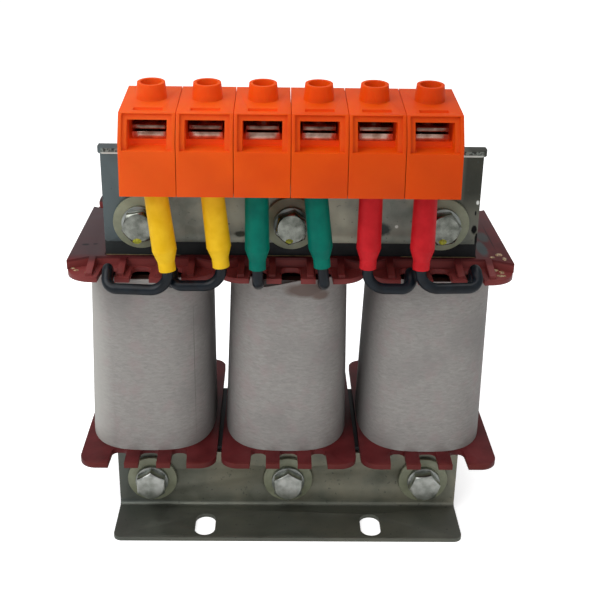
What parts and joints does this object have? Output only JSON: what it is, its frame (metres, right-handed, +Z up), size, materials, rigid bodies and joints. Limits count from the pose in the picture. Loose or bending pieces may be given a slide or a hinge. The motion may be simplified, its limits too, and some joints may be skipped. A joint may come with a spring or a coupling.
{
  "type": "dv-dt filter",
  "caption": "Three-phase dv-dt filter: wrapped coils on a laminated three-limb core, clamped between folded steel brackets, with a row of screw terminal blocks on top.",
  "frame": {"origin": "in the plane that the feet stand on, under the middle of the core and midway between the four foot slots", "axes": "+Z up; X along the row of coils, to the right seen from the terminal side; the terminal side faces -Y"},
  "size_m": [0.1494, 0.0972, 0.1614],
  "materials": {
    "core_sheets": "black varnished electrical steel sheets",
    "gap_board": "pressboard spacer",
    "bobbin_plastic": "satin moulded plastic, dark red",
    "winding_copper": "enamelled copper wire under dark varnish",
    "coil_tape": "grey fibrous insulating tape",
    "bracket_zinc": "galvanised sheet steel",
    "bolt_zinc": "zinc-plated steel",
    "washer_zinc": "zinc-plated steel",
    "washer_plastic": "translucent insulating plastic",
    "terminal_plastic": "moulded orange plastic",
    "clamp_steel": "plated steel",
    "contact_tin": "tin-plated copper",
    "sleeve_yellow": "heat-shrink sleeve, yellow",
    "sleeve_green": "heat-shrink sleeve, green",
    "sleeve_red": "heat-shrink sleeve, red",
    "lead_black": "black insulated wire"
  },
  "bodies": {
    "root": {"core_leg_stack": "core_sheets", "core_top_yoke": "core_sheets", "gap_spacers": "gap_board", "bobbin_left": "bobbin_plastic", "bobbin_centre": "bobbin_plastic", "bobbin_right": "bobbin_plastic", "winding_left": "winding_copper", "winding_centre": "winding_copper", "winding_right": "winding_copper", "coil_wrap_left": "coil_tape", "coil_wrap_centre": "coil_tape", "coil_wrap_right": "coil_tape", "top_bracket_front": "bracket_zinc", "foot_bracket_front": "bracket_zinc", "top_bracket_rear": "bracket_zinc", "foot_bracket_rear": "bracket_zinc", "top_bolts": "bolt_zinc", "foot_bolts": "bolt_zinc", "flat_washers": "washer_zinc", "insulating_washers": "washer_plastic", "spring_washers": "washer_zinc", "nuts": "bolt_zinc", "bolt_tubes": "washer_plastic", "terminal_housing_1": "terminal_plastic", "terminal_housing_2": "terminal_plastic", "terminal_housing_3": "terminal_plastic", "terminal_housing_4": "terminal_plastic", "terminal_housing_5": "terminal_plastic", "terminal_housing_6": "terminal_plastic", "clamp_plates": "clamp_steel", "contact_bars": "contact_tin", "clamp_screws": "clamp_steel", "sleeve_1": "sleeve_yellow", "sleeve_2": "sleeve_yellow", "sleeve_3": "sleeve_green", "sleeve_4": "sleeve_green", "sleeve_5": "sleeve_red", "sleeve_6": "sleeve_red", "lead_1": "lead_black", "lead_2": "lead_black", "lead_3": "lead_black", "lead_4": "lead_black", "lead_5": "lead_black", "lead_6": "lead_black"}
  },
  "joints": []
}
